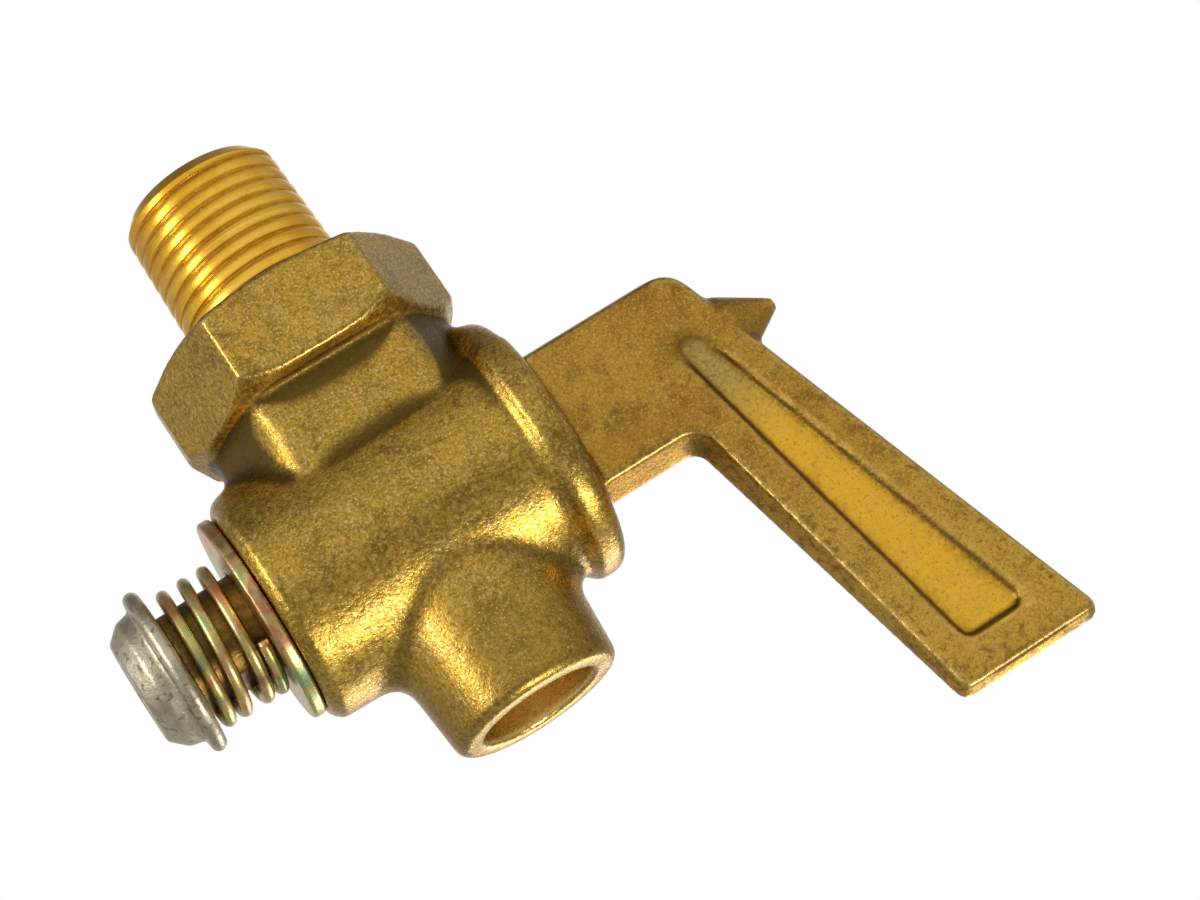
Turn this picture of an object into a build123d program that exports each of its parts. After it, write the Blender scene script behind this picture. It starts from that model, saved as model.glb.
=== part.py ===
from build123d import *
import os
from math import atan, atan2, cos, degrees, pi, radians, sin, tan

# A drain cock: a ground taper plug with a lever turns in a forged body with a pipe-threaded inlet.
# The origin is where the flow axis crosses the plug axis. Z runs along the flow with the inlet up,
# X along the plug with the lever at +X. Both forgings part in the XZ plane. Sizes are in millimetres.

# Clearances
plug_clearance = 0.03       # radial, between the ground taper and its bore
seat_gap = 0.04             # axial, between faces that push or turn against each other
washer_clearance = 0.10     # around the stem, in the washer
screw_clearance = 0.03      # radial, between the screw and its hole

# Inlet: hexagon and taper-threaded spigot, measured up from the plug axis
hex_sides = 6
hex_base = 9.2
hex_height = 5.8
hex_across_flats = 16.75
hex_trimmed_width = 18.1    # over the two corners that the flash trim cuts off
hex_trim_bevel = 1.1        # under those corners
hex_top_diameter = 15.4     # where the turned chamfer meets the top face
hex_chamfer_angle = 19.0
hex_base_diameter = 16.75   # where the forged bevel meets the underside
hex_bevel_angle = 34.0
thread_length = 9.7
thread_pitch = 0.941
thread_depth = 0.62
thread_crest_diameter = 9.96  # at the small end
thread_end_diameter = 8.8   # where the lead-in chamfer meets the end face
pipe_taper = 1 / 16         # on the diameter
waterway_diameter = 5.0

# Neck between hexagon and barrel: a smaller hexagon, flattened front and back and trimmed at the sides
neck_facet_inset = 0.975    # from the large hexagon's flats
neck_side_inset = 0.05      # from the trimmed ends of its underside
neck_rim_inset = 0.4        # from the round rim of its underside
neck_front_inset = 0.8      # from the barrel's sides
neck_corner_radius = 1.0
neck_root_radius = 1.2      # cove into the barrel
neck_cove_radius = 0.6      # cove into the hexagon

# Barrel round the plug, with a raised collar at the lever end
barrel_start = 10.0         # from the flow axis to the washer's side
barrel_end = 9.3            # from the flow axis to the lever's side
barrel_start_diameter = 14.6
barrel_draft = 1.3          # degrees
barrel_edge_break = 0.6     # on the washer's side
collar_diameter = 16.9
collar_width = 2.6
collar_rise = 0.7           # length of the slope up to its full diameter
collar_crest_radius = 0.6
collar_nose_radius = 1.1

# Outlet
outlet_reach = 13.1         # plug axis to the outlet's face
outlet_diameter = 10.6      # at the face
outlet_draft = 4.5          # degrees
outlet_bore_diameter = 7.3
outlet_bore_depth = 5.0
outlet_rim_break = 0.4
outlet_root_radius = 1.6

# Ground plug
plug_diameter = 9.8         # at the flow axis
plug_taper = 1 / 7          # on the diameter
plug_recess = 0.3           # small end, inside the barrel
plug_stand_out = 0.4        # large end, past the collar

# Stem, washer, spring and screw
stem_diameter = 6.5
stem_flats = 5.5
washer_diameter = 12.9
washer_thickness = 0.85
washer_edge_break = 0.15
spring_diameter = 8.7       # outside
wire_diameter = 0.78
wire_sides = 8              # the wire is swept with few facets
spring_length = 4.8
closed_turns = 1.0          # at each end
closed_pitch = 0.84
active_turns = 1.55
spring_end_angle = 212.0    # where the wire ends at the washer, from +Y towards +Z
flange_diameter = 10.4
flange_thickness = 0.95
flange_rim_break = 0.28
head_base_diameter = 8.5
head_end_diameter = 6.3
head_height = 1.9
head_crown = 0.35           # bulge in the middle of the head's side
screw_diameter = 4.0
screw_length = 6.5
screw_hole_spare = 1.0
drive_width = 3.4
drive_slot = 0.8
drive_depth = 1.2

# Lever: one flat L, symmetric about the parting plane
lever_neck_width = 10.5
lever_thickness = 4.6
lever_tip_thickness = 2.3
lever_draft = 20.0          # degrees
lever_inner_x = 15.9        # the L's inner corner
lever_outer_x = 20.8        # its outer corner, before rounding
lever_reach = 26.0          # plug axis to the arm's end
arm_end_inner_x = 20.2
arm_end_outer_x = 30.1
lever_outer_radius = 2.5
lever_inner_radius = 1.0
arm_corner_radius = 0.9
panel_depth = 0.5
panel_draft = 25.0          # degrees
panel_top = 0.6             # above the plug axis
panel_end_margin = 2.7      # from the arm's end
panel_top_x = 18.6          # middle of the panel's narrow end
panel_top_width = 1.9
panel_bottom_x = 24.3       # middle of its wide end
panel_bottom_width = 4.4
panel_top_radius = 0.8
panel_bottom_radius = 0.8
centre_reach = 4.1          # from the L's outer corner to the turning centre's tip
centre_angle = 62.0
centre_base_diameter = 4.5
centre_tip_diameter = 0.7

# Sizes that follow from the ones above
hex_corner_radius = hex_across_flats / 2 / cos(pi / hex_sides)
hex_top = hex_base + hex_height
inlet_end = hex_top + thread_length
neck_across_facets = hex_across_flats - 2 * neck_facet_inset
neck_depth = barrel_start_diameter - 2 * neck_front_inset
neck_width = hex_trimmed_width - 2 * hex_trim_bevel - 2 * neck_side_inset
collar_start = barrel_end - collar_width
collar_top = collar_start + collar_rise
collar_nose = barrel_end - collar_nose_radius
plug_small_end = plug_recess - barrel_start
plug_large_end = barrel_end + plug_stand_out
washer_back = -barrel_start - seat_gap
washer_face = washer_back - washer_thickness
stem_end = washer_face - spring_length
flange_back = stem_end - flange_thickness
head_end = flange_back - head_height
centre_tip = lever_outer_x + centre_reach
lever_slope = atan((lever_thickness - lever_tip_thickness) / 2 / (lever_reach + panel_top))


def barrel_radius(x):
    """Outer radius of the drafted barrel at a place along the plug axis."""
    return barrel_start_diameter / 2 + (x + barrel_start) * tan(radians(barrel_draft))


def crest_radius(z):
    """Radius over the thread's crests at a height above the plug axis."""
    return (thread_crest_diameter + (inlet_end - z) * pipe_taper) / 2


def plug_radius(x):
    """Radius of the ground taper at a place along the plug axis."""
    return (plug_diameter + x * plug_taper) / 2


neck_height = hex_base - barrel_radius(neck_width / 2)  # shortest, over the barrel's crown

os.makedirs("parts", exist_ok=True)

# Body
with BuildPart() as body:
    # Hexagon, trimmed at the parting line, turned above and bevelled below
    with BuildSketch(Plane.XY.offset(hex_base)):
        RegularPolygon(hex_across_flats / 2, hex_sides, major_radius=False)
    extrude(amount=hex_height)
    with BuildSketch(Plane.XZ):
        with BuildLine():
            Polyline(
                (hex_trimmed_width / 2 - hex_trim_bevel, hex_base),
                (hex_trimmed_width / 2, hex_base + hex_trim_bevel),
                (hex_trimmed_width / 2, hex_top),
                (-hex_trimmed_width / 2, hex_top),
                (-hex_trimmed_width / 2, hex_base + hex_trim_bevel),
                (hex_trim_bevel - hex_trimmed_width / 2, hex_base),
                close=True,
            )
        make_face()
    extrude(amount=hex_across_flats, both=True, mode=Mode.INTERSECT)
    chamfer_drop = (hex_corner_radius - hex_top_diameter / 2) * tan(radians(hex_chamfer_angle))
    bevel_rise = (hex_corner_radius - hex_base_diameter / 2) * tan(radians(hex_bevel_angle))
    with BuildSketch(Plane.XZ):
        with BuildLine():
            Polyline(
                (0, hex_base),
                (hex_base_diameter / 2, hex_base),
                (hex_corner_radius, hex_base + bevel_rise),
                (hex_corner_radius, hex_top - chamfer_drop),
                (hex_top_diameter / 2, hex_top),
                (0, hex_top),
                close=True,
            )
        make_face()
    revolve(axis=Axis.Z, mode=Mode.INTERSECT)

    # Barrel, drafted towards the small end of the plug
    with BuildSketch(Plane.XZ):
        with BuildLine():
            Polyline(
                (-barrel_start, 0),
                (-barrel_start, barrel_start_diameter / 2 - barrel_edge_break),
                (barrel_edge_break - barrel_start, barrel_radius(barrel_edge_break - barrel_start)),
                (collar_nose, barrel_radius(collar_nose)),
                (collar_nose, 0),
                close=True,
            )
        make_face()
    revolve(axis=Axis.X)

    # Outlet boss, drafted, with a cove into the barrel
    with BuildSketch(Plane.XY.offset(-outlet_reach)):
        Circle(outlet_diameter / 2)
    extrude(amount=outlet_reach, taper=-outlet_draft)
    outlet_root = body.edges(Select.NEW).filter_by_position(Axis.Z, -outlet_reach, 0, (False, False))
    fillet(outlet_root, outlet_root_radius)

    # Neck, with a cove into the barrel and one into the hexagon
    with BuildSketch(Plane.XY):
        RegularPolygon(neck_across_facets / 2, hex_sides, major_radius=False)
        Rectangle(neck_width, neck_depth, mode=Mode.INTERSECT)
        Circle(hex_base_diameter / 2 - neck_rim_inset, mode=Mode.INTERSECT)
        offset(amount=-neck_corner_radius, mode=Mode.REPLACE)
        offset(amount=neck_corner_radius, mode=Mode.REPLACE)
    extrude(amount=hex_base)
    neck_root = body.edges(Select.NEW).filter_by_position(Axis.Z, 0, hex_base, (False, False))
    fillet(neck_root, min(neck_root_radius, neck_height / 2))
    underside = body.faces().filter_by_position(Axis.Z, hex_base, hex_base)[0]
    fillet(underside.inner_wires()[0].edges(), min(neck_cove_radius, neck_height / 4))

    # Collar: a rounded bead over the barrel's lever end
    with BuildSketch(Plane.XZ):
        with BuildLine():
            bead = FilletPolyline(
                (collar_start, barrel_radius(collar_start)),
                (collar_top, collar_diameter / 2),
                (barrel_end, collar_diameter / 2),
                (barrel_end, 0),
                radius=[collar_crest_radius, collar_nose_radius],
            )
            Polyline(bead @ 1, (collar_start, 0), bead @ 0)
        make_face()
    revolve(axis=Axis.X)

    # Threaded spigot: the taper thread as plain rings, one to a pitch, counted from the small end
    outside = [(0, inlet_end), (thread_end_diameter / 2, inlet_end)]
    for ring in range(int(thread_length / thread_pitch)):
        crest = inlet_end - (ring + 0.5) * thread_pitch
        root = inlet_end - (ring + 1) * thread_pitch
        outside += [(crest_radius(crest), crest), (crest_radius(root) - thread_depth, root)]
    outside += [(crest_radius(hex_top) - thread_depth, hex_top), (0, hex_top)]
    with BuildSketch(Plane.XZ):
        with BuildLine():
            Polyline(outside, close=True)
        make_face()
    revolve(axis=Axis.Z)

    # Taper bore for the plug
    with BuildSketch(Plane.XZ):
        with BuildLine():
            Polyline(
                (-barrel_start, 0),
                (-barrel_start, plug_radius(-barrel_start) + plug_clearance),
                (barrel_end, plug_radius(barrel_end) + plug_clearance),
                (barrel_end, 0),
                close=True,
            )
        make_face()
    revolve(axis=Axis.X, mode=Mode.SUBTRACT)

    # Waterway from the inlet to the outlet's wider bore
    with BuildSketch(Plane.XY.offset(inlet_end)):
        Circle(waterway_diameter / 2)
    extrude(amount=-inlet_end - outlet_reach, mode=Mode.SUBTRACT)
    with BuildSketch(Plane.XY.offset(-outlet_reach)):
        Circle(outlet_bore_diameter / 2)
    extrude(amount=outlet_bore_depth, mode=Mode.SUBTRACT)
    chamfer(body.edges().group_by(Axis.Z)[0].sort_by(SortBy.LENGTH)[-1], outlet_rim_break)

body.part.label = "body"
export_step(body.part, "parts/body.step")

# Plug and lever, one forging
with BuildPart() as plug_lever:
    # The L's outline, drafted both ways from the parting plane
    with BuildSketch(Plane.XZ):
        with BuildLine():
            outline = FilletPolyline(
                (barrel_end, lever_neck_width / 2),
                (lever_outer_x, lever_neck_width / 2),
                (arm_end_outer_x, -lever_reach),
                (arm_end_inner_x, -lever_reach),
                (lever_inner_x, -lever_neck_width / 2),
                (barrel_end, -lever_neck_width / 2),
                radius=[lever_outer_radius, arm_corner_radius, arm_corner_radius, lever_inner_radius],
            )
            Line(outline @ 1, outline @ 0)
        make_face()
    extrude(amount=lever_thickness / 2, both=True, taper=lever_draft)

    # Thinned from the panel's top to the arm's end
    with BuildSketch(Plane.YZ):
        with BuildLine():
            Polyline(
                (lever_thickness / 2, lever_neck_width),
                (lever_thickness / 2, panel_top),
                (lever_tip_thickness / 2, -lever_reach),
                (-lever_tip_thickness / 2, -lever_reach),
                (-lever_thickness / 2, panel_top),
                (-lever_thickness / 2, lever_neck_width),
                close=True,
            )
        make_face()
    extrude(amount=arm_end_outer_x, mode=Mode.INTERSECT)

    # Recessed panel in each face
    panel_plane = Plane(
        origin=(0, -lever_thickness / 2, panel_top),
        x_dir=(1, 0, 0),
        z_dir=(0, -cos(lever_slope), -sin(lever_slope)),
    )
    panel_length = (lever_reach + panel_top - panel_end_margin) / cos(lever_slope)
    with BuildSketch(panel_plane):
        with BuildLine():
            FilletPolyline(
                (panel_top_x - panel_top_width / 2, 0),
                (panel_top_x + panel_top_width / 2, 0),
                (panel_bottom_x + panel_bottom_width / 2, -panel_length),
                (panel_bottom_x - panel_bottom_width / 2, -panel_length),
                radius=[panel_top_radius, panel_top_radius, panel_bottom_radius, panel_bottom_radius],
                close=True,
            )
        make_face()
    extrude(amount=-panel_depth, taper=panel_draft, mode=Mode.SUBTRACT)
    mirror(about=Plane.XZ, mode=Mode.INTERSECT)

    # Ground taper plug
    with BuildSketch(Plane.XZ):
        with BuildLine():
            Polyline(
                (plug_small_end, 0),
                (plug_small_end, plug_radius(plug_small_end)),
                (plug_large_end, plug_radius(plug_large_end)),
                (plug_large_end, 0),
                close=True,
            )
        make_face()
    revolve(axis=Axis.X)

    # Pointed turning centre on the plug axis, outside the L's corner
    centre_base = centre_tip - (centre_base_diameter - centre_tip_diameter) / 2 / tan(radians(centre_angle / 2))
    with BuildSketch(Plane.XZ):
        with BuildLine():
            Polyline(
                (lever_outer_x, 0),
                (lever_outer_x, centre_base_diameter / 2),
                (centre_base, centre_base_diameter / 2),
                (centre_tip, centre_tip_diameter / 2),
                (centre_tip, 0),
                close=True,
            )
        make_face()
    revolve(axis=Axis.X)

    # Cross port, in line with the waterway while the lever lies along the flow
    with BuildSketch(Plane.XY):
        Circle(waterway_diameter / 2)
    extrude(amount=plug_diameter, both=True, mode=Mode.SUBTRACT)

    # Stem with two flats, drilled for the screw
    with BuildSketch(Plane.YZ.offset(stem_end)):
        Circle(stem_diameter / 2)
        Rectangle(stem_diameter, stem_flats, mode=Mode.INTERSECT)
    extrude(amount=plug_small_end - stem_end)
    with BuildSketch(Plane.YZ.offset(stem_end)):
        Circle(screw_diameter / 2 + screw_clearance)
    extrude(amount=screw_length + screw_hole_spare, mode=Mode.SUBTRACT)

plug_lever.part.label = "plug_lever"
export_step(plug_lever.part, "parts/plug_lever.step")

# Washer, held by the flats of the stem
with BuildPart() as washer:
    with BuildSketch(Plane.YZ.offset(washer_face)):
        Circle(washer_diameter / 2)
    extrude(amount=washer_thickness)
    chamfer(washer.edges(), washer_edge_break)
    with BuildSketch(Plane.YZ.offset(washer_face)):
        Circle(stem_diameter / 2 + washer_clearance)
        Rectangle(washer_diameter, stem_flats + 2 * washer_clearance, mode=Mode.INTERSECT)
    extrude(amount=washer_thickness, mode=Mode.SUBTRACT)

washer.part.label = "washer"
export_step(washer.part, "parts/washer.step")

# Spring, left-hand wound, with a closed turn at each end
coil_radius = (spring_diameter - wire_diameter) / 2
coil_start = stem_end + seat_gap + wire_diameter / 2
coil_length = spring_length - wire_diameter - 2 * seat_gap
active_pitch = (coil_length - 2 * closed_turns * closed_pitch) / active_turns
coil_spans = [(closed_pitch, closed_turns), (active_pitch, active_turns), (closed_pitch, closed_turns)]
full_turn = 360


def wound(start, pitch, turns, angle):
    """One stretch of left-hand helix along X, whose first point stands at an angle from +Y towards +Z."""
    helix = Helix(pitch, pitch * turns, coil_radius, (start, 0, 0), (1, 0, 0), lefthand=True, mode=Mode.PRIVATE)
    first = helix @ 0
    return helix.rotate(Axis.X, angle - degrees(atan2(first.Z, first.Y)))


with BuildPart() as spring:
    with BuildLine() as coil:
        place = coil_start
        angle = spring_end_angle + full_turn * sum(turns for pitch, turns in coil_spans)
        for pitch, turns in coil_spans:
            add(wound(place, pitch, turns, angle))
            place += pitch * turns
            angle -= full_turn * turns
    path = coil.wires()[0]
    with BuildSketch(Plane(origin=path @ 0, z_dir=path % 0)):
        RegularPolygon(wire_diameter / 2, wire_sides)
    sweep(path=path, is_frenet=True)

spring.part.label = "spring"
export_step(spring.part, "parts/spring.step")

# Retaining screw with a washer head
with BuildPart() as retaining_screw:
    head_middle_radius = (head_base_diameter + head_end_diameter) / 4 + head_crown
    with BuildSketch(Plane.XZ):
        with BuildLine():
            Polyline(
                (stem_end + screw_length, 0),
                (stem_end + screw_length, screw_diameter / 2),
                (stem_end, screw_diameter / 2),
                (stem_end, flange_diameter / 2),
                (flange_back, flange_diameter / 2),
                (flange_back, head_base_diameter / 2),
                (flange_back - head_height / 2, head_middle_radius),
                (head_end, head_end_diameter / 2),
                (head_end, 0),
                close=True,
            )
        make_face()
    revolve(axis=Axis.X)
    rim = retaining_screw.edges().filter_by(GeomType.CIRCLE).sort_by(SortBy.RADIUS)[-2:]
    chamfer(rim, flange_rim_break)
    # Cross recess
    with BuildSketch(Plane.YZ.offset(head_end)):
        Rectangle(drive_width, drive_slot)
        Rectangle(drive_slot, drive_width)
    extrude(amount=drive_depth, mode=Mode.SUBTRACT)

retaining_screw.part.label = "retaining_screw"
export_step(retaining_screw.part, "parts/retaining_screw.step")
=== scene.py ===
from math import pi, radians, tan

import bpy
import numpy as np
from mathutils import Matrix, Vector


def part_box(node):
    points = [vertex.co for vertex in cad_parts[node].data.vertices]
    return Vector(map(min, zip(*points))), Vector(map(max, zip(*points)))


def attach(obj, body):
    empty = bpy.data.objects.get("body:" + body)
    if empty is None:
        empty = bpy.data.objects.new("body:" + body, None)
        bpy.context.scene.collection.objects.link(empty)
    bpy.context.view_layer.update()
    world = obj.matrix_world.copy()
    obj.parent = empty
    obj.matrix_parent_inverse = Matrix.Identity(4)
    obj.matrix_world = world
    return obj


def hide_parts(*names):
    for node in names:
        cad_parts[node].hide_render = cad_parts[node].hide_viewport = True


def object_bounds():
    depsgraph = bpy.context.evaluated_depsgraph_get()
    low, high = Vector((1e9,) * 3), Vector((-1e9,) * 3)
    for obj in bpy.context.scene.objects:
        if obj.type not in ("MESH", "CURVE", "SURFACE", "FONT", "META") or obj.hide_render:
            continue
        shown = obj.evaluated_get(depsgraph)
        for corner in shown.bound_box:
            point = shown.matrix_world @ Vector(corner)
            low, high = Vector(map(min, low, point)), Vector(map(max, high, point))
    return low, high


# A drain cock in forged brass. The frame gives the solids; this script softens the forgings, cuts the
# pipe thread, winds the spring in round wire and gives each piece its finish. Lengths are in metres,
# except where a heading says millimetres. A pair of values is where a change begins and ends.

MM = 0.001

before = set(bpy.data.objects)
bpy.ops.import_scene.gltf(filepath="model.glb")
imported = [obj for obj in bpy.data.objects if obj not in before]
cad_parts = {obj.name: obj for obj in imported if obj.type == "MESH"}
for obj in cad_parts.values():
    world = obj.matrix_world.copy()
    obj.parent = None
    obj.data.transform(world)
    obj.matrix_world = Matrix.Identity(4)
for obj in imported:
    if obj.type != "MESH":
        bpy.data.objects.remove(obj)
cad_low, cad_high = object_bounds()
cad_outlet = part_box("body")[0].z

# Camera, fitted to the photograph
EYE = Vector((-23.18, -172.21, -52.29)) * MM
LOOK_RIGHT = Vector((0.8349, -0.0065, -0.5503))
LOOK_DOWN = Vector((-0.5170, 0.3333, -0.7884))
LENS = 94.49                # mm, on a sensor 36 mm wide
SENSOR = 36.0
CLIP_START = 0.01
CLIP_END = 20.0

# Stage and light
FLOOR_Z = -0.30
FLOOR_SIZE = 6.0
FLOOR_GREY = 0.84
FLOOR_ROUGHNESS = 0.8

TENT = [                    # brightness from behind the camera (0) to the backdrop (1)
    (0.0, 0.93),
    (0.45, 0.70),
    (0.62, 0.56),
    (0.90, 0.42),
    (0.982, 1.0),
]
ROOF_START = 0.55           # height above which the tent darkens
ROOF_GREY = 0.35

LAMPS = [                   # name, direction from the part, distance, width, height, power
    ("left", (-0.82, -0.49, 0.26), 0.22, 0.045, 0.13, 0.18),
    ("low", (0.13, -0.335, -0.93), 0.22, 0.09, 0.04, 0.18),
    ("rim", (0.19, 0.76, -0.62), 0.20, 0.10, 0.10, 0.12),
]

# Fine meshes of the pieces
BODY_VOXEL = 0.18 * MM
LEVER_VOXEL = 0.18 * MM
SMALL_VOXEL = 0.10 * MM
CURVE_STEPS = 4             # pieces into which each CAD facet's edges are divided
CURVE_SHARE = 0.75          # of the way from the flat facet to the curve that its normals give
EDGE_SMOOTHING = 0.5        # share of the way to the neighbours' mean in one pass
BODY_PASSES = 5             # of smoothing over the voxels' steps
LEVER_PASSES = 3
WASHER_PASSES = 1
SCREW_PASSES = 9

# Wear, dirt and painted shade that follow the shape
EDGE_PASSES = 12            # smoothing against which edges stand out
EDGE_RANGE = 0.10 * MM      # height over that surface that counts as fully worn
HOLLOW_PASSES = 120         # wide smoothing against which hollows show
HOLLOW_RANGE = 0.16 * MM
BODY_TRIM = 1.2 * MM        # half the strip where the flash was cut off
LEVER_TRIM = 0.4 * MM
TRIM_CORE = 0.1             # share of that width over which the strip is full
TRIM_FACING = (0.3, 0.6)    # sideways part of the normal over which it fades

# Body
COVE_PASSES = 22            # filling of the hollows between the forging's masses
BORE_KEEP_OUT = 6.0 * MM    # radius round the plug axis that the filling leaves alone
WATERWAY_KEEP_OUT = 4.2 * MM
NECK_SOFTNESS = 70          # passes over the neck's corners
NECK_SOFT_LOW = (4.6 * MM, 5.4 * MM)   # along Z, where they set in
NECK_SOFT_HIGH = (8.7 * MM, 9.3 * MM)  # and where they fade
NECK_OFF_PLUG = (7.6 * MM, 8.3 * MM)   # dull sides of the neck: distance from the plug axis
NECK_LOW = 2.0 * MM         # along Z
NECK_HIGH = (9.2 * MM, 9.6 * MM)
NECK_END_X = 6.4 * MM       # short of the collar
OUTLET_BORE = 3.65 * MM     # radius
OUTLET_FLOOR = -6.0 * MM

# Lever panel in millimetres: down from its narrow end, beside its middle line, deep in the face
PANEL_TOP = 0.6             # above the plug axis
PANEL_TOP_X = 18.6
PANEL_LENGTH = 23.9
PANEL_LEAN = 5.7 / PANEL_LENGTH     # towards +X on the way down
PANEL_TOP_HALF = 0.95
PANEL_SPREAD = 1.25 / PANEL_LENGTH  # of the half width
PANEL_DEPTH = 0.5
PANEL_EDGE = 0.2            # softening round its outline
PANEL_SOFTNESS = 3          # passes over the outline
PANEL_END_SOFTNESS = 30     # more of them over the narrow end
PANEL_END_START = (-1.0, -0.3)
PANEL_END_FADE = (0.8, 2.2)
LEVER_HALF = 2.3            # half the thickness at the panel's narrow end
LEVER_THINNING = 1.15 / 26.6        # of that half on the way down
PANEL_FLOOR = (0.26, 0.42)  # deep
# Panel walls, which take painted shade
WALL_TOP = (0.02, 0.14)     # deep
WALL_FOOT = (0.34, 0.47)
WALL_START = (0.3, 2.0)     # down
TARNISH_FADE = (3.0, 8.0)   # down
# Rim: a painted highlight along the panel's outline, weaker on the side towards the body
RIM_START = (-0.05, 0.08)   # out from the panel's outline
RIM_FADE = (0.20, 0.36)
RIM_DEPTH = 0.2             # deepest place that counts as rim
RIM_DOWN = (1.0, 4.0)
RIM_INNER_SIDE = 0.3        # strength on the side towards the body
BORDER_OUT = (0.5, 1.8)     # out from the panel's outline
BORDER_DOWN = (4.5, 7.0)
MARGIN_BESIDE = (0.45, 1.0)  # as a share of the panel's half width

# Pipe thread
THREAD_PITCH = 25.4 / 27 * MM
THREAD_LENGTH = 9.7 * MM
THREAD_DEPTH = 0.30 * MM
THREAD_CREST = 4.98 * MM    # radius at the small end
THREAD_TAPER = 1 / 32       # on the radius
THREAD_END_RADIUS = 4.40 * MM
THREAD_LEAD_ANGLE = 40.0    # degrees, of the chamfer over the first thread
THREAD_SIDES = 180
THREAD_ROWS = 22            # to a pitch
CREST_ROUND = 0.10 * MM     # bulge of each crest
GROOVE_STEEPNESS = 12       # higher is a narrower groove
GROOVE_SHARE = 0.06         # of a pitch, on each side of the groove's bottom
SLEEVE_GAP = 0.03 * MM      # between the thread and the spigot under it

# Spring
WIRE_DIAMETER = 0.78 * MM
WIRE_SIDES = 20
WIRE_STEPS = 64             # to a turn
CLOSED_TURNS = 1.0
CLOSED_PITCH = 0.84 * MM
ACTIVE_TURNS = 1.55
SPRING_END_ANGLE = 212.0    # degrees from +Y towards +Z, at the washer


# Meshes

def mesh_object(name, verts, faces):
    """A new smooth-shaded object from arrays of points and faces."""
    mesh = bpy.data.meshes.new(name)
    mesh.from_pydata([tuple(v) for v in verts], [], [tuple(int(i) for i in f) for f in faces])
    mesh.validate()
    mesh.shade_smooth()
    obj = bpy.data.objects.new(name, mesh)
    bpy.context.scene.collection.objects.link(obj)
    return obj


def coordinates(mesh):
    """The mesh's points as an array."""
    co = np.empty(len(mesh.vertices) * 3, np.float32)
    mesh.vertices.foreach_get("co", co)
    return co.reshape(-1, 3).astype(float)


def curved_facets(mesh, steps):
    """The mesh's triangles divided and bent to follow its corner normals, as points and faces."""
    mesh.calc_loop_triangles()
    loops = np.array([t.loops for t in mesh.loop_triangles])
    corner_point = np.empty(len(mesh.loops), int)
    mesh.loops.foreach_get("vertex_index", corner_point)
    normals = np.empty(len(mesh.loops) * 3, np.float32)
    mesh.corner_normals.foreach_get("vector", normals)
    points = coordinates(mesh)[corner_point[loops]]
    normals = normals.reshape(-1, 3)[loops].astype(float)
    shares = []
    place = {}
    for i in range(steps + 1):
        for j in range(steps + 1 - i):
            place[i, j] = len(shares)
            shares.append((i / steps, j / steps, 1 - (i + j) / steps))
    rows = []
    for share in shares:
        flat = sum(s * points[:, k] for k, s in enumerate(share))
        bent = np.zeros_like(flat)
        for k, s in enumerate(share):
            height = np.sum((flat - points[:, k]) * normals[:, k], axis=1, keepdims=True)
            bent += s * (flat - height * normals[:, k])
        rows.append((1 - CURVE_SHARE) * flat + CURVE_SHARE * bent)
    verts = np.stack(rows, axis=1)
    pattern = []
    for i in range(steps):
        for j in range(steps - i):
            pattern.append((place[i, j], place[i + 1, j], place[i, j + 1]))
            if i + j < steps - 1:
                pattern.append((place[i + 1, j], place[i + 1, j + 1], place[i, j + 1]))
    pattern = np.array(pattern)
    starts = (np.arange(len(loops)) * len(shares))[:, None, None]
    faces = (pattern[None] + starts).reshape(-1, 3)
    return verts.reshape(-1, 3), faces


def smoothed(points, edges, passes):
    """The points after some passes towards the mean of their neighbours."""
    count = np.bincount(edges.ravel(), minlength=len(points))[:, None]
    for _ in range(passes):
        total = np.empty_like(points)
        for axis in range(3):
            total[:, axis] = np.bincount(edges[:, 0], points[edges[:, 1], axis], len(points))
            total[:, axis] += np.bincount(edges[:, 1], points[edges[:, 0], axis], len(points))
        points = points + EDGE_SMOOTHING * (total / np.maximum(count, 1) - points)
    return points


def normals_of(mesh):
    """The mesh's point normals as an array."""
    normals = np.empty(len(mesh.vertices) * 3, np.float32)
    mesh.vertices.foreach_get("normal", normals)
    return normals.reshape(-1, 3).astype(float)


def set_points(mesh, points):
    """Moves the mesh's points."""
    mesh.vertices.foreach_set("co", points.astype(np.float32).ravel())
    mesh.update()


def paint(obj, name, values):
    """Stores one number at each point, for the material."""
    layer = obj.data.attributes.new(name, "FLOAT", "POINT")
    layer.data.foreach_set("value", values.astype(np.float32))


def ramp(values, low, high):
    """0 at low, 1 at high, straight between."""
    return np.clip((values - low) / (high - low), 0, 1)


def band(values, start, fade):
    """Up from 0 to 1 over the start, and down again over the fade."""
    return ramp(values, *start) * (1 - ramp(values, *fade))


def ring_faces(rows, sides):
    """Four-sided faces between rings of points that follow one another."""
    faces = []
    for r in range(rows):
        for a in range(sides):
            b = (a + 1) % sides
            faces.append((r * sides + a, r * sides + b, (r + 1) * sides + b, (r + 1) * sides + a))
    return faces


def crest_radius(z):
    """Radius over the thread's crests."""
    return THREAD_CREST + (cad_high.z - z) * THREAD_TAPER


def lead_radius(z):
    """Radius of the chamfer over the first thread."""
    return THREAD_END_RADIUS + (cad_high.z - z) * tan(radians(THREAD_LEAD_ANGLE))


def softened(points, edges, share, passes):
    """The points smoothed in some places only: share is 1 where the smoothing is full."""
    for _ in range(passes):
        points = points + share[:, None] * (smoothed(points, edges, 1) - points)
    return points


def panel_place(points):
    """Places by the lever's panel, in millimetres: down, beside its middle, its half width, and deep."""
    x, y, z = points.T / MM
    down = PANEL_TOP - z
    beside = x - PANEL_TOP_X - down * PANEL_LEAN
    half = PANEL_TOP_HALF + down * PANEL_SPREAD
    depth = LEVER_HALF - down * LEVER_THINNING - np.abs(y)
    return down, beside, half, depth


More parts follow.
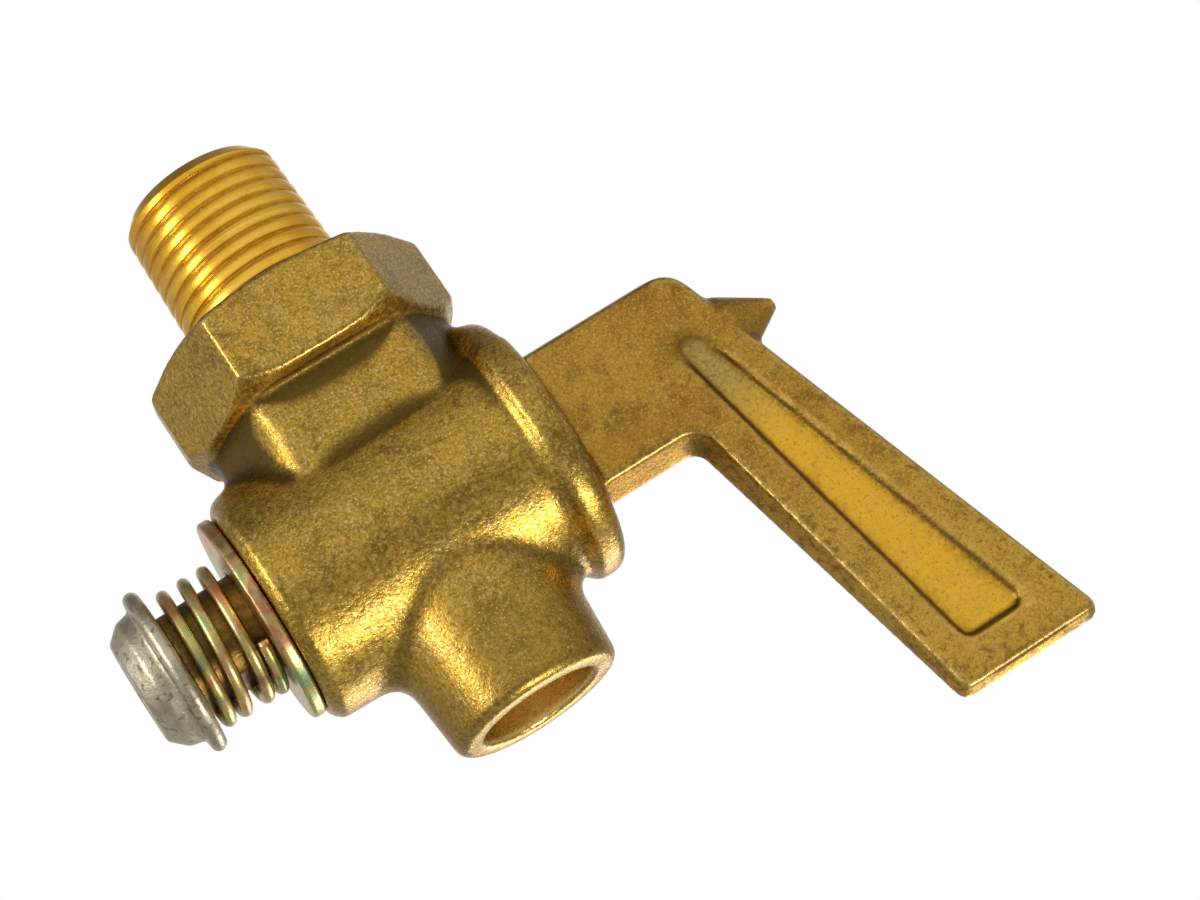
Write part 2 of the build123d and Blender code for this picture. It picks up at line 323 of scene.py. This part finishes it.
def lever_shape(points, normals, edges):
    """Softens the outline of the lever's panels, most at the narrow end."""
    down, beside, half, depth = panel_place(points)
    on_panel = (np.abs(beside) < half + 2 * PANEL_EDGE) * (depth < PANEL_DEPTH + PANEL_EDGE)
    points = softened(points, edges, 1.0 * on_panel, PANEL_SOFTNESS)
    narrow_end = on_panel * band(down, PANEL_END_START, PANEL_END_FADE)
    return softened(points, edges, narrow_end, PANEL_END_SOFTNESS)


def outside_bores(points):
    """True away from the plug's bore and the waterway."""
    off_plug = np.hypot(points[:, 1], points[:, 2])
    off_flow = np.hypot(points[:, 0], points[:, 1])
    return (off_plug > BORE_KEEP_OUT) & (off_flow > WATERWAY_KEEP_OUT)


def body_shape(points, normals, edges):
    """Softens the neck, fills the hollows into coves and turns the spigot down to go under the thread."""
    neck = band(points[:, 2], NECK_SOFT_LOW, NECK_SOFT_HIGH) * outside_bores(points)
    points = softened(points, edges, neck, NECK_SOFTNESS)
    outside = outside_bores(points)[:, None]
    for _ in range(COVE_PASSES):
        step = np.sum((smoothed(points, edges, 1) - points) * normals, axis=1, keepdims=True)
        points = points + outside * np.maximum(step, 0) * normals
    z = points[:, 2]
    root = np.minimum(crest_radius(z) - THREAD_DEPTH, lead_radius(z)) - SLEEVE_GAP
    off_flow = np.hypot(points[:, 0], points[:, 1])
    spigot = z > cad_high.z - THREAD_LENGTH + SLEEVE_GAP
    turn = np.where(spigot & (off_flow > root), root / np.maximum(off_flow, root), 1.0)
    points[:, :2] *= turn[:, None]
    return points


def refined(node, name, voxel, passes, shape=None):
    """A fine copy of a CAD node with softened edges, and values for edges and hollows at each point."""
    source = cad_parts[node].data
    verts, faces = curved_facets(source, CURVE_STEPS)
    obj = mesh_object(name, verts, faces)
    remesh = obj.modifiers.new("remesh", "REMESH")
    remesh.mode = "VOXEL"
    remesh.voxel_size = voxel
    depsgraph = bpy.context.evaluated_depsgraph_get()
    fine = bpy.data.meshes.new_from_object(obj.evaluated_get(depsgraph))
    obj.modifiers.clear()
    obj.data = fine
    fine.name = name
    edges = np.empty(len(fine.edges) * 2, int)
    fine.edges.foreach_get("vertices", edges)
    edges = edges.reshape(-1, 2)
    points = smoothed(coordinates(fine), edges, passes)
    set_points(fine, points)
    if shape:
        points = shape(points, normals_of(fine), edges)
        set_points(fine, points)
    normals = normals_of(fine)
    near = smoothed(points, edges, EDGE_PASSES)
    wide = smoothed(near, edges, HOLLOW_PASSES)
    paint(obj, "edge", np.clip(np.sum((points - near) * normals, axis=1) / EDGE_RANGE, 0, 1))
    paint(obj, "hollow", np.clip(np.sum((wide - points) * normals, axis=1) / HOLLOW_RANGE, 0, 1))
    fine.shade_smooth()
    return obj


def trim_strips(mesh, width):
    """1 where the forging's flash was trimmed: along the parting plane on outward faces."""
    _, y, z = coordinates(mesh).T
    across = 1 - ramp(np.abs(y), TRIM_CORE * width, width)
    facing = 1 - ramp(np.abs(normals_of(mesh)[:, 1]), *TRIM_FACING)
    outside = np.hypot(y, z) > BORE_KEEP_OUT
    return across * facing * outside * (z < cad_high.z - THREAD_LENGTH)


def neck_sides(mesh):
    """1 on the neck between barrel and hexagon, which the tumbling reached less."""
    x, y, z = coordinates(mesh).T
    off_barrel = ramp(np.hypot(y, z), *NECK_OFF_PLUG)
    return off_barrel * (z > NECK_LOW) * (1 - ramp(z, *NECK_HIGH)) * (x < NECK_END_X)


def outlet_bore(mesh):
    """1 in the drilled outlet."""
    x, y, z = coordinates(mesh).T
    within = np.hypot(x, y) < OUTLET_BORE + BODY_VOXEL
    return 1.0 * within * (z < OUTLET_FLOOR) * (z > cad_outlet + BODY_VOXEL)


def panel_parts(mesh):
    """Parts of the lever's recessed panels by name, as values up to 1 at each point."""
    down, beside, half, depth = panel_place(coordinates(mesh))
    inside = (np.abs(beside) < half + PANEL_EDGE) & (down > -PANEL_EDGE)
    beyond = np.maximum(np.abs(beside) - half, down - PANEL_LENGTH)
    floor_share = inside * ramp(depth, *PANEL_FLOOR)
    rim = band(beyond, RIM_START, RIM_FADE) * (depth < RIM_DEPTH) * ramp(down, *RIM_DOWN)
    return {
        "panel": floor_share,
        "wall": inside * band(depth, WALL_TOP, WALL_FOOT) * ramp(down, *WALL_START),
        "tarnish": floor_share * (1 - ramp(down, *TARNISH_FADE)),
        # rim: the painted highlight along the outline
        "rim": rim * np.where(beside > 0, 1.0, RIM_INNER_SIDE),
        "border": ramp(beyond, *BORDER_OUT) * ramp(down, *BORDER_DOWN),
        "margin": floor_share * ramp(np.abs(beside) / half, *MARGIN_BESIDE),
    }


def pipe_thread():
    """A taper thread round Z, as a sleeve over the spigot: a height over angle and place."""
    rows = int(THREAD_LENGTH / THREAD_PITCH * THREAD_ROWS)
    top = cad_high.z
    z = top - THREAD_LENGTH + np.linspace(0, THREAD_LENGTH, rows + 1)
    angle = np.linspace(0, 2 * pi, THREAD_SIDES, endpoint=False)
    zz, aa = np.meshgrid(z, angle, indexing="ij")
    phase = ((zz - top) / THREAD_PITCH - aa / (2 * pi)) % 1.0
    off_groove = 0.5 - np.abs(phase - 0.5)
    off_crest = 1 - 2 * off_groove
    groove_depth = THREAD_DEPTH - CREST_ROUND
    depth = CREST_ROUND * off_crest ** 2 + groove_depth * off_crest ** GROOVE_STEEPNESS
    radius = np.minimum(crest_radius(zz) - depth, lead_radius(zz))
    verts = np.stack([radius * np.cos(aa), radius * np.sin(aa), zz], axis=-1).reshape(-1, 3)
    obj = mesh_object("pipe_thread", verts, ring_faces(rows, THREAD_SIDES))
    paint(obj, "groove", 1 - ramp(off_groove.ravel(), 0, GROOVE_SHARE))
    return obj


def spring_wire():
    """The spring in round wire: a left-hand helix with closed ends, along X."""
    low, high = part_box("spring")
    coil_radius = (high.z - low.z) / 2 - WIRE_DIAMETER / 2
    start = low.x + WIRE_DIAMETER / 2
    length = high.x - low.x - WIRE_DIAMETER
    turns = 2 * CLOSED_TURNS + ACTIVE_TURNS
    steps = int(turns * WIRE_STEPS)
    t = np.linspace(0, turns, steps + 1)
    knots = [0, CLOSED_TURNS, CLOSED_TURNS + ACTIVE_TURNS, turns]
    travel = [0, CLOSED_TURNS * CLOSED_PITCH, length - CLOSED_TURNS * CLOSED_PITCH, length]
    x = start + np.interp(t, knots, travel)
    angle = radians(SPRING_END_ANGLE) + 2 * pi * (turns - t)
    path = np.stack([x, coil_radius * np.cos(angle), coil_radius * np.sin(angle)], axis=1)
    tangent = np.gradient(path, axis=0)
    tangent /= np.linalg.norm(tangent, axis=1, keepdims=True)
    outward = np.stack([np.zeros_like(x), np.cos(angle), np.sin(angle)], axis=1)
    side = np.cross(tangent, outward)
    side /= np.linalg.norm(side, axis=1, keepdims=True)
    around = np.linspace(0, 2 * pi, WIRE_SIDES, endpoint=False)[None, :, None]
    ring = np.cos(around) * outward[:, None] + np.sin(around) * side[:, None]
    verts = (path[:, None] + WIRE_DIAMETER / 2 * ring).reshape(-1, 3)
    faces = ring_faces(steps, WIRE_SIDES)
    faces.append(tuple(range(WIRE_SIDES))[::-1])
    faces.append(tuple(range(steps * WIRE_SIDES, (steps + 1) * WIRE_SIDES)))
    return mesh_object("spring_wire", verts, faces)


# Materials

class Nodes:
    """Short ways to add and join a material's nodes. Places are in millimetres."""

    MIX_A = 6                   # colour sockets of the Mix node, by number as their names occur twice
    MIX_B = 7
    MIX_RESULT = 2

    def __init__(self, name):
        self.material = bpy.data.materials.new(name)
        self.material.use_nodes = True
        self.tree = self.material.node_tree
        self.shader = self.tree.nodes["Principled BSDF"]
        place = self.add("ShaderNodeTexCoord")
        scale = self.add("ShaderNodeMapping")
        scale.inputs["Scale"].default_value = (1 / MM, 1 / MM, 1 / MM)
        self.join(place.outputs["Object"], scale.inputs["Vector"])
        self.place = scale.outputs["Vector"]

    def add(self, kind):
        return self.tree.nodes.new(kind)

    def join(self, source, target):
        self.tree.links.new(source, target)

    def put(self, value, socket):
        """Sets a socket to a number or colour, or joins an output to it."""
        if hasattr(value, "is_linked"):
            self.join(value, socket)
        else:
            socket.default_value = value

    def noise(self, scale, detail, rough, distortion=0.0, where=None):
        n = self.add("ShaderNodeTexNoise")
        n.inputs["Scale"].default_value = scale
        n.inputs["Detail"].default_value = detail
        n.inputs["Roughness"].default_value = rough
        n.inputs["Distortion"].default_value = distortion
        self.join(where or self.place, n.inputs["Vector"])
        return n.outputs["Fac"]

    def span(self, value, low, high, to_low=0.0, to_high=1.0):
        """Maps a range of a value to another, clamped."""
        n = self.add("ShaderNodeMapRange")
        n.interpolation_type = "SMOOTHSTEP"
        n.inputs["From Min"].default_value = low
        n.inputs["From Max"].default_value = high
        n.inputs["To Min"].default_value = to_low
        n.inputs["To Max"].default_value = to_high
        self.join(value, n.inputs["Value"])
        return n.outputs["Result"]

    def math(self, operation, a, b):
        n = self.add("ShaderNodeMath")
        n.operation = operation
        self.put(a, n.inputs[0])
        self.put(b, n.inputs[1])
        return n.outputs[0]

    def mix(self, share, a, b):
        """Mixes two colours, each an output or a colour."""
        n = self.add("ShaderNodeMix")
        n.data_type = "RGBA"
        self.put(share, n.inputs["Factor"])
        self.put(a, n.inputs[self.MIX_A])
        self.put(b, n.inputs[self.MIX_B])
        return n.outputs[self.MIX_RESULT]

    def times(self, a, b):
        return self.math("MULTIPLY", a, b)

    def layer(self, colour, value, low, high, share, shade):
        """Turns the colour towards a shade as a value goes from low to high, by that share at most."""
        return self.mix(self.span(value, low, high, 0.0, share), colour, shade)

    def height(self):
        """Place along Z."""
        n = self.add("ShaderNodeSeparateXYZ")
        self.join(self.place, n.inputs["Vector"])
        return n.outputs["Z"]

    def attribute(self, name):
        n = self.add("ShaderNodeAttribute")
        n.attribute_name = name
        return n.outputs["Fac"]

    def bump(self, layers):
        """Adds bumps in turn: each has a height and the depth in metres that a height of 1 stands for."""
        normal = None
        for height, depth in layers:
            n = self.add("ShaderNodeBump")
            n.inputs["Strength"].default_value = 1.0
            n.inputs["Distance"].default_value = depth
            self.join(height, n.inputs["Height"])
            if normal is not None:
                self.join(normal, n.inputs["Normal"])
            normal = n.outputs["Normal"]
        self.join(normal, self.shader.inputs["Normal"])

    def finish(self, colour, rough, metallic=1.0):
        self.put(colour, self.shader.inputs["Base Color"])
        self.put(rough, self.shader.inputs["Roughness"])
        self.shader.inputs["Metallic"].default_value = metallic
        return self.material


def forged_brass():
    """Tumbled forging: grainy olive gold, dark in the hollows with grime and painted shade, and bright on the
    edges.
    """
    base = (0.46, 0.28, 0.038, 1)
    light_base = (0.56, 0.325, 0.046, 1)
    olive = (0.42, 0.285, 0.075, 1)
    brown = (0.24, 0.14, 0.022, 1)
    gold_grain = (0.66, 0.42, 0.11, 1)
    dark_grain = (0.25, 0.15, 0.020, 1)
    gold_speck = (0.70, 0.47, 0.13, 1)
    dark_speck = (0.20, 0.12, 0.018, 1)
    glint = (0.82, 0.66, 0.38, 1)
    pit = (0.14, 0.085, 0.016, 1)
    grime_and_shade = (0.11, 0.066, 0.012, 1)
    copper = (0.58, 0.30, 0.12, 1)
    drilled = (0.92, 0.68, 0.24, 1)
    worn = (0.66, 0.44, 0.14, 1)
    n = Nodes("forged_brass")
    broad = n.noise(0.16, 3.0, 0.55)
    patch = n.noise(0.55, 3.0, 0.6, 0.3)
    grain = n.noise(3.4, 3.0, 0.6)
    fine = n.noise(7.5, 2.0, 0.6)
    pits = n.noise(5.5, 2.0, 0.5, 0.5)
    stain = n.noise(0.42, 5.0, 0.7, 0.5)
    height = n.height()
    colour = n.mix(n.span(broad, 0.35, 0.65), base, light_base)
    colour = n.layer(colour, patch, 0.46, 0.66, 0.6, olive)
    colour = n.layer(colour, stain, 0.48, 0.64, 0.75, brown)
    colour = n.layer(colour, grain, 0.50, 0.70, 0.8, gold_grain)
    colour = n.layer(colour, grain, 0.48, 0.34, 0.6, dark_grain)
    colour = n.layer(colour, fine, 0.54, 0.68, 0.55, gold_speck)
    colour = n.layer(colour, fine, 0.47, 0.33, 0.6, dark_speck)
    colour = n.layer(colour, fine, 0.60, 0.72, 0.5, glint)
    colour = n.layer(colour, pits, 0.56, 0.70, 0.5, pit)
    # Painted shade: darker and browner down the outlet
    colour = n.layer(colour, height, -6.5, -10.0, 0.4, brown)
    # Grime and painted shade in the hollows, weaker towards the bottom
    hollow = n.times(n.attribute("hollow"), n.span(height, -3.0, 4.0, 0.4, 1.0))
    colour = n.layer(colour, hollow, 0.12, 0.60, 0.92, grime_and_shade)
    strip = n.times(n.attribute("trim"), n.span(patch, 0.30, 0.62))
    colour = n.layer(colour, strip, 0.15, 0.75, 0.6, copper)
    colour = n.mix(n.attribute("bore"), colour, drilled)
    edge = n.times(n.span(n.attribute("edge"), 0.25, 0.8), n.span(grain, 0.38, 0.58, 0.15, 1.0))
    colour = n.mix(n.times(edge, 0.6), colour, worn)
    dull = n.math("SUBTRACT", n.times(n.attribute("neck"), 0.08), n.times(edge, 0.12))
    rough = n.math("ADD", n.span(grain, 0.3, 0.7, 0.29, 0.42), dull)
    rough = n.math("SUBTRACT", rough, n.span(fine, 0.50, 0.66, 0.0, 0.14))
    n.bump([(patch, 0.05 * MM), (grain, 0.036 * MM), (fine, 0.013 * MM)])
    return n.finish(colour, rough)


def lever_brass():
    """Smoother forging in warmer brass, with oxide specks, and bright where the panel is rubbed."""
    base = (0.40, 0.195, 0.024, 1)
    light_base = (0.48, 0.265, 0.040, 1)
    light_arm = (0.62, 0.375, 0.060, 1)
    olive = (0.44, 0.29, 0.055, 1)
    brown = (0.24, 0.13, 0.020, 1)
    rubbed_gold = (0.84, 0.465, 0.036, 1)
    tarnish = (0.34, 0.26, 0.085, 1)
    gold_grain = (0.64, 0.38, 0.075, 1)
    dark_grain = (0.24, 0.12, 0.016, 1)
    gold_speck = (0.76, 0.50, 0.13, 1)
    dark_speck = (0.22, 0.115, 0.016, 1)
    panel_dirt = (0.38, 0.20, 0.022, 1)
    oxide = (0.18, 0.105, 0.02, 1)
    border_oxide = (0.20, 0.10, 0.02, 1)
    rim_highlight = (0.86, 0.54, 0.11, 1)
    grime_and_shade = (0.17, 0.10, 0.018, 1)
    wall_shade = (0.17, 0.095, 0.018, 1)
    stem_darkening = (0.10, 0.06, 0.018, 1)
    copper = (0.50, 0.30, 0.15, 1)
    worn = (0.74, 0.50, 0.16, 1)
    n = Nodes("lever_brass")
    panel = n.attribute("panel")
    broad = n.noise(0.22, 3.0, 0.6)
    patch = n.noise(0.8, 3.0, 0.6, 0.3)
    grain = n.noise(4.0, 3.0, 0.6)
    fine = n.noise(7.5, 2.0, 0.6)
    speck = n.noise(1.7, 4.0, 0.65, 0.4)
    stain = n.noise(0.5, 5.0, 0.7, 0.5)
    off_panel = n.span(panel, 0.0, 1.0, 1.0, 0.25)
    colour = n.mix(n.span(broad, 0.35, 0.65), base, light_base)
    colour = n.layer(colour, n.height(), -4.0, -20.0, 0.8, light_arm)
    colour = n.layer(colour, patch, 0.48, 0.64, 0.4, olive)
    colour = n.layer(colour, stain, 0.48, 0.64, 0.65, brown)
    colour = n.mix(n.times(panel, n.span(patch, 0.3, 0.5, 0.8, 1.0)), colour, rubbed_gold)
    dull = n.times(n.attribute("tarnish"), n.span(grain, 0.40, 0.60, 1.0, 0.7))
    colour = n.mix(dull, colour, tarnish)
    colour = n.layer(colour, grain, 0.50, 0.70, 0.5, gold_grain)
    colour = n.layer(colour, grain, 0.46, 0.34, 0.4, dark_grain)
    colour = n.layer(colour, fine, 0.55, 0.68, 0.45, gold_speck)
    colour = n.mix(n.times(n.span(fine, 0.46, 0.33, 0.0, 0.5), off_panel), colour, dark_speck)
    dirt = n.times(n.attribute("margin"), n.span(speck, 0.40, 0.60, 0.1, 0.7))
    colour = n.mix(dirt, colour, panel_dirt)
    colour = n.mix(n.times(n.span(speck, 0.57, 0.68, 0.0, 0.6), off_panel), colour, oxide)
    border = n.times(n.attribute("border"), n.span(speck, 0.48, 0.62, 0.0, 0.6))
    colour = n.mix(border, colour, border_oxide)
    # Painted highlight along the panel's rim
    rim = n.times(n.attribute("rim"), n.span(patch, 0.38, 0.58, 0.15, 0.8))
    colour = n.mix(rim, colour, rim_highlight)
    # Grime and painted shade in the hollows off the panel
    hollow = n.times(n.attribute("hollow"), n.math("SUBTRACT", 1.0, panel))
    colour = n.layer(colour, hollow, 0.10, 0.7, 0.7, grime_and_shade)
    # Painted shade on the panel's walls
    colour = n.mix(n.times(n.attribute("wall"), 0.85), colour, wall_shade)
    # The stem darkened in patches
    stem = n.times(n.attribute("stem"), n.span(patch, 0.35, 0.60, 0.45, 0.9))
    colour = n.mix(stem, colour, stem_darkening)
    strip = n.times(n.attribute("trim"), n.span(patch, 0.32, 0.55, 0.4, 0.9))
    colour = n.mix(strip, colour, copper)
    edge = n.times(n.span(n.attribute("edge"), 0.30, 0.8), n.span(grain, 0.38, 0.58, 0.4, 1.0))
    colour = n.mix(n.times(edge, 0.7), colour, worn)
    rough = n.math("ADD", n.span(grain, 0.3, 0.7, 0.32, 0.42), n.times(edge, -0.08))
    n.bump([(patch, 0.035 * MM), (grain, 0.020 * MM), (fine, 0.010 * MM)])
    return n.finish(colour, rough)


def machined_brass():
    """Bright cut brass of the thread, with the tool's lines round it."""
    base = (0.82, 0.42, 0.033, 1)
    light_base = (0.92, 0.53, 0.060, 1)
    bright_line = (0.95, 0.66, 0.18, 1)
    dark_line = (0.55, 0.25, 0.018, 1)
    dark_grain = (0.30, 0.15, 0.018, 1)
    groove_darkening = (0.36, 0.18, 0.020, 1)
    line_scale = (0.12, 0.12, 9.0)
    n = Nodes("machined_brass")
    broad = n.noise(0.35, 3.0, 0.6)
    along = n.add("ShaderNodeMapping")
    along.inputs["Scale"].default_value = line_scale
    n.join(n.place, along.inputs["Vector"])
    lines = n.noise(1.0, 3.0, 0.6, 0.0, along.outputs["Vector"])
    grain = n.noise(5.0, 3.0, 0.6)
    colour = n.mix(n.span(broad, 0.38, 0.62), base, light_base)
    colour = n.layer(colour, lines, 0.52, 0.70, 0.4, bright_line)
    colour = n.layer(colour, lines, 0.44, 0.30, 0.4, dark_line)
    colour = n.layer(colour, grain, 0.62, 0.74, 0.5, dark_grain)
    # Darker in the thread's grooves
    colour = n.layer(colour, n.attribute("groove"), 0.2, 1.0, 0.6, groove_darkening)
    n.bump([(lines, 0.012 * MM), (grain, 0.006 * MM)])
    return n.finish(colour, n.span(grain, 0.3, 0.7, 0.22, 0.32))


def chromate():
    """Yellow chromate on zinc, with a thin film's shifting tint."""
    green = (0.33, 0.42, 0.20, 1)
    yellow = (0.58, 0.47, 0.16, 1)
    orange = (0.63, 0.44, 0.20, 1)
    red = (0.60, 0.26, 0.12, 1)
    straw = (0.47, 0.34, 0.17, 1)
    brown = (0.20, 0.14, 0.06, 1)
    dark_speck = (0.18, 0.12, 0.06, 1)
    n = Nodes("chromate")
    tint = n.noise(0.42, 1.0, 0.5, 0.4)
    stain = n.noise(0.8, 3.0, 0.6, 0.4)
    fine = n.noise(7.0, 3.0, 0.6)
    colour = n.mix(n.span(tint, 0.30, 0.44), green, yellow)
    colour = n.layer(colour, tint, 0.44, 0.54, 1.0, orange)
    colour = n.layer(colour, tint, 0.54, 0.62, 1.0, red)
    colour = n.layer(colour, tint, 0.62, 0.72, 1.0, straw)
    colour = n.layer(colour, stain, 0.52, 0.70, 0.6, brown)
    colour = n.layer(colour, fine, 0.60, 0.75, 0.5, dark_speck)
    n.bump([(fine, 0.008 * MM)])
    return n.finish(colour, n.span(fine, 0.3, 0.7, 0.26, 0.38))


def zinc():
    """Dull zinc plate with pits."""
    base = (0.42, 0.37, 0.25, 1)
    light_base = (0.60, 0.53, 0.39, 1)
    pit = (0.14, 0.12, 0.08, 1)
    worn = (0.62, 0.60, 0.52, 1)
    n = Nodes("zinc")
    broad = n.noise(0.5, 3.0, 0.6)
    pits = n.noise(2.2, 4.0, 0.65, 0.3)
    fine = n.noise(8.0, 3.0, 0.6)
    colour = n.mix(n.span(broad, 0.35, 0.65), base, light_base)
    colour = n.layer(colour, pits, 0.54, 0.66, 0.75, pit)
    colour = n.layer(colour, n.attribute("edge"), 0.2, 0.7, 0.5, worn)
    n.bump([(pits, 0.04 * MM), (fine, 0.01 * MM)])
    return n.finish(colour, n.span(fine, 0.3, 0.7, 0.32, 0.44))


def dress(obj, material, body, slot, *nodes):
    """Gives a piece its finish and its body, and hides the CAD nodes that it stands for. The slot is not
    used.
    """
    obj.data.materials.clear()
    obj.data.materials.append(material)
    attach(obj, body)
    if nodes:
        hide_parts(*nodes)


# The object

forging = refined("body", "body_forging", BODY_VOXEL, BODY_PASSES, body_shape)
neck_share = neck_sides(forging.data)
paint(forging, "neck", neck_share)
paint(forging, "trim", trim_strips(forging.data, BODY_TRIM) * (1 - neck_share))
paint(forging, "bore", outlet_bore(forging.data))
dress(forging, forged_brass(), "body", "forged_brass", "body")

dress(pipe_thread(), machined_brass(), "body", "forged_brass")

lever = refined("plug_lever", "lever_forging", LEVER_VOXEL, LEVER_PASSES, lever_shape)
for part_name, values in panel_parts(lever.data).items():
    paint(lever, part_name, values)
paint(lever, "trim", trim_strips(lever.data, LEVER_TRIM))
paint(lever, "stem", 1.0 * (coordinates(lever.data)[:, 0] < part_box("washer")[1].x))
dress(lever, lever_brass(), "plug", "lever_brass", "plug_lever")

plating = chromate()
washer = refined("washer", "washer_plate", SMALL_VOXEL, WASHER_PASSES)
dress(washer, plating, "plug", "yellow_plated_steel", "washer")
dress(spring_wire(), plating, "plug", "yellow_plated_steel", "spring")

screw = refined("retaining_screw", "screw", SMALL_VOXEL, SCREW_PASSES)
dress(screw, zinc(), "plug", "zinc_plated_steel", "retaining_screw")


# Stage, light and camera

def floor():
    """A large pale floor, well below the part and the camera."""
    half = FLOOR_SIZE / 2
    corners = [(-half, -half, FLOOR_Z), (half, -half, FLOOR_Z), (half, half, FLOOR_Z), (-half, half, FLOOR_Z)]
    obj = mesh_object("floor", corners, [(0, 1, 2, 3)])
    n = Nodes("floor_paint")
    obj.data.materials.append(n.finish((FLOOR_GREY, FLOOR_GREY, FLOOR_GREY, 1), FLOOR_ROUGHNESS, 0.0))


def soft_box(name, direction, distance, width, height, power):
    """An oblong area lamp that faces the part."""
    data = bpy.data.lights.new(name, "AREA")
    data.shape = "RECTANGLE"
    data.size = width
    data.size_y = height
    data.energy = power
    obj = bpy.data.objects.new(name, data)
    place = Vector(direction) * distance
    obj.location = place
    obj.rotation_mode = "QUATERNION"
    obj.rotation_quaternion = place.to_track_quat("Z", "Y")
    bpy.context.scene.collection.objects.link(obj)


def studio():
    """A tent that is brightest round the camera, greyer at the sides, with a white backdrop."""
    world = bpy.data.worlds.new("studio")
    bpy.context.scene.world = world
    world.use_nodes = True
    tree = world.node_tree
    background = tree.nodes["Background"]
    place = tree.nodes.new("ShaderNodeTexCoord")
    ahead = tree.nodes.new("ShaderNodeVectorMath")
    ahead.operation = "DOT_PRODUCT"
    ahead.inputs[1].default_value = LOOK_RIGHT.cross(LOOK_DOWN).normalized()
    tree.links.new(place.outputs["Generated"], ahead.inputs[0])
    share = tree.nodes.new("ShaderNodeMapRange")
    share.inputs["From Min"].default_value = -1.0
    tree.links.new(ahead.outputs["Value"], share.inputs["Value"])
    tent = tree.nodes.new("ShaderNodeValToRGB")
    # A new ramp has two stops already
    for place_on_ramp, _ in TENT[2:]:
        tent.color_ramp.elements.new(place_on_ramp)
    for element, (place_on_ramp, grey) in zip(tent.color_ramp.elements, TENT):
        element.position = place_on_ramp
        element.color = (grey, grey, grey, 1)
    tree.links.new(share.outputs["Result"], tent.inputs["Fac"])
    tree.links.new(tent.outputs["Color"], background.inputs["Color"])
    split = tree.nodes.new("ShaderNodeSeparateXYZ")
    tree.links.new(place.outputs["Generated"], split.inputs["Vector"])
    roof = tree.nodes.new("ShaderNodeMapRange")
    roof.inputs["From Min"].default_value = ROOF_START
    roof.inputs["To Min"].default_value = 1.0
    roof.inputs["To Max"].default_value = ROOF_GREY
    tree.links.new(split.outputs["Z"], roof.inputs["Value"])
    tree.links.new(roof.outputs["Result"], background.inputs["Strength"])


def camera():
    """The camera that took the photograph, as fitted."""
    data = bpy.data.cameras.new("camera")
    data.lens = LENS
    data.sensor_width = SENSOR
    data.sensor_fit = "HORIZONTAL"
    data.clip_start = CLIP_START
    data.clip_end = CLIP_END
    obj = bpy.data.objects.new("camera", data)
    right = LOOK_RIGHT.normalized()
    up = -(LOOK_DOWN - LOOK_DOWN.dot(right) * right).normalized()
    back = right.cross(up)
    turn = Matrix((right, up, back)).transposed().to_4x4()
    obj.matrix_world = Matrix.Translation(EYE) @ turn
    bpy.context.scene.collection.objects.link(obj)
    bpy.context.scene.camera = obj


floor()
studio()
for lamp in LAMPS:
    soft_box(*lamp)
camera()
bpy.context.scene.view_settings.view_transform = "Standard"
